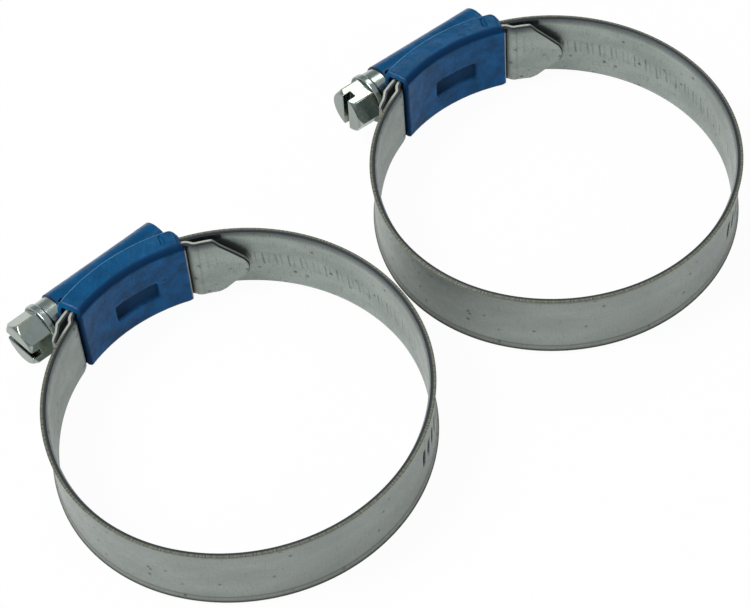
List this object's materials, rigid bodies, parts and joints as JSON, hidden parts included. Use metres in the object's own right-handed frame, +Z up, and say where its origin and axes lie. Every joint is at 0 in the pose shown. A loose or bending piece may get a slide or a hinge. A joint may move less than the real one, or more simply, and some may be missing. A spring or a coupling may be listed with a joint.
{
  "type": "hose clamp",
  "caption": "Worm-drive hose clamps, each a steel band with a pressed thread, a folded painted housing and a slotted hexagon screw.",
  "frame": {"origin": "centre of the pair's bounding box on the surface that they stand on", "axes": "+Z up, along both rings' axes; the pair is seen from -Y, from above, in the picture; the front left clamp is at -X -Y and the rear right one at +X +Y"},
  "size_m": [0.115, 0.1055, 0.0137],
  "materials": {
    "housing_paint": "gloss blue paint",
    "band_steel": "satin zinc-coated steel",
    "screw_zinc": "bright zinc-plated steel"
  },
  "bodies": {
    "front_frame": {"front_housing": "housing_paint", "front_band_fixed": "band_steel"},
    "front_left": {"front_band_left": "band_steel"},
    "front_right": {"front_band_right": "band_steel"},
    "front_tail": {"front_band_tail": "band_steel"},
    "front_worm": {"front_screw": "screw_zinc"},
    "rear_frame": {"rear_housing": "housing_paint", "rear_band_fixed": "band_steel"},
    "rear_left": {"rear_band_left": "band_steel"},
    "rear_right": {"rear_band_right": "band_steel"},
    "rear_tail": {"rear_band_tail": "band_steel"},
    "rear_worm": {"rear_screw": "screw_zinc"}
  },
  "joints": [
    {"name": "rear_clamp_lift", "type": "slide", "parent": "front_frame", "child": "rear_frame", "axis": [0, 0, 1], "range_m": [0, 0.04]},
    {"name": "front_screw_turn", "type": "hinge", "parent": "front_frame", "child": "front_worm", "pos_m": [-0.04283, 0.00223, 0.00685], "axis": [0.7848, 0.6198, 0], "range_deg": [-360, 1800]},
    {"name": "front_flex_first", "type": "hinge", "parent": "front_frame", "child": "front_left", "pos_m": [-0.05042, -0.02543, 0.00685], "axis": [0, 0, 1], "range_deg": [-1.5, 7]},
    {"name": "front_flex_second", "type": "hinge", "parent": "front_left", "child": "front_right", "pos_m": [-0.00633, -0.04643, 0.00685], "axis": [0, 0, 1], "range_deg": [-1.7, 8]},
    {"name": "front_flex_third", "type": "hinge", "parent": "front_right", "child": "front_tail", "pos_m": [-0.01062, 0.00318, 0.00685], "axis": [0, 0, 1], "range_deg": [-1.4, 6.7]},
    {"name": "rear_screw_turn", "type": "hinge", "parent": "rear_frame", "child": "rear_worm", "pos_m": [0.00996, 0.04291, 0.00685], "axis": [0.829, 0.5592, 0], "range_deg": [-360, 1800]},
    {"name": "rear_flex_first", "type": "hinge", "parent": "rear_frame", "child": "rear_left", "pos_m": [0.00031, 0.0159, 0.00685], "axis": [0, 0, 1], "range_deg": [-1.5, 7]},
    {"name": "rear_flex_second", "type": "hinge", "parent": "rear_left", "child": "rear_right", "pos_m": [0.04271, -0.00835, 0.00685], "axis": [0, 0, 1], "range_deg": [-1.7, 8]},
    {"name": "rear_flex_third", "type": "hinge", "parent": "rear_right", "child": "rear_tail", "pos_m": [0.04215, 0.04144, 0.00685], "axis": [0, 0, 1], "range_deg": [-1.4, 6.7]}
  ],
  "couplings": [
    {"joint": "front_flex_first", "follows": "front_screw_turn", "ratio": 0.0037308},
    {"joint": "front_flex_second", "follows": "front_screw_turn", "ratio": 0.0041613},
    {"joint": "front_flex_third", "follows": "front_screw_turn", "ratio": 0.0035231},
    {"joint": "rear_flex_first", "follows": "rear_screw_turn", "ratio": 0.0037308},
    {"joint": "rear_flex_second", "follows": "rear_screw_turn", "ratio": 0.0041613},
    {"joint": "rear_flex_third", "follows": "rear_screw_turn", "ratio": 0.0035231}
  ]
}
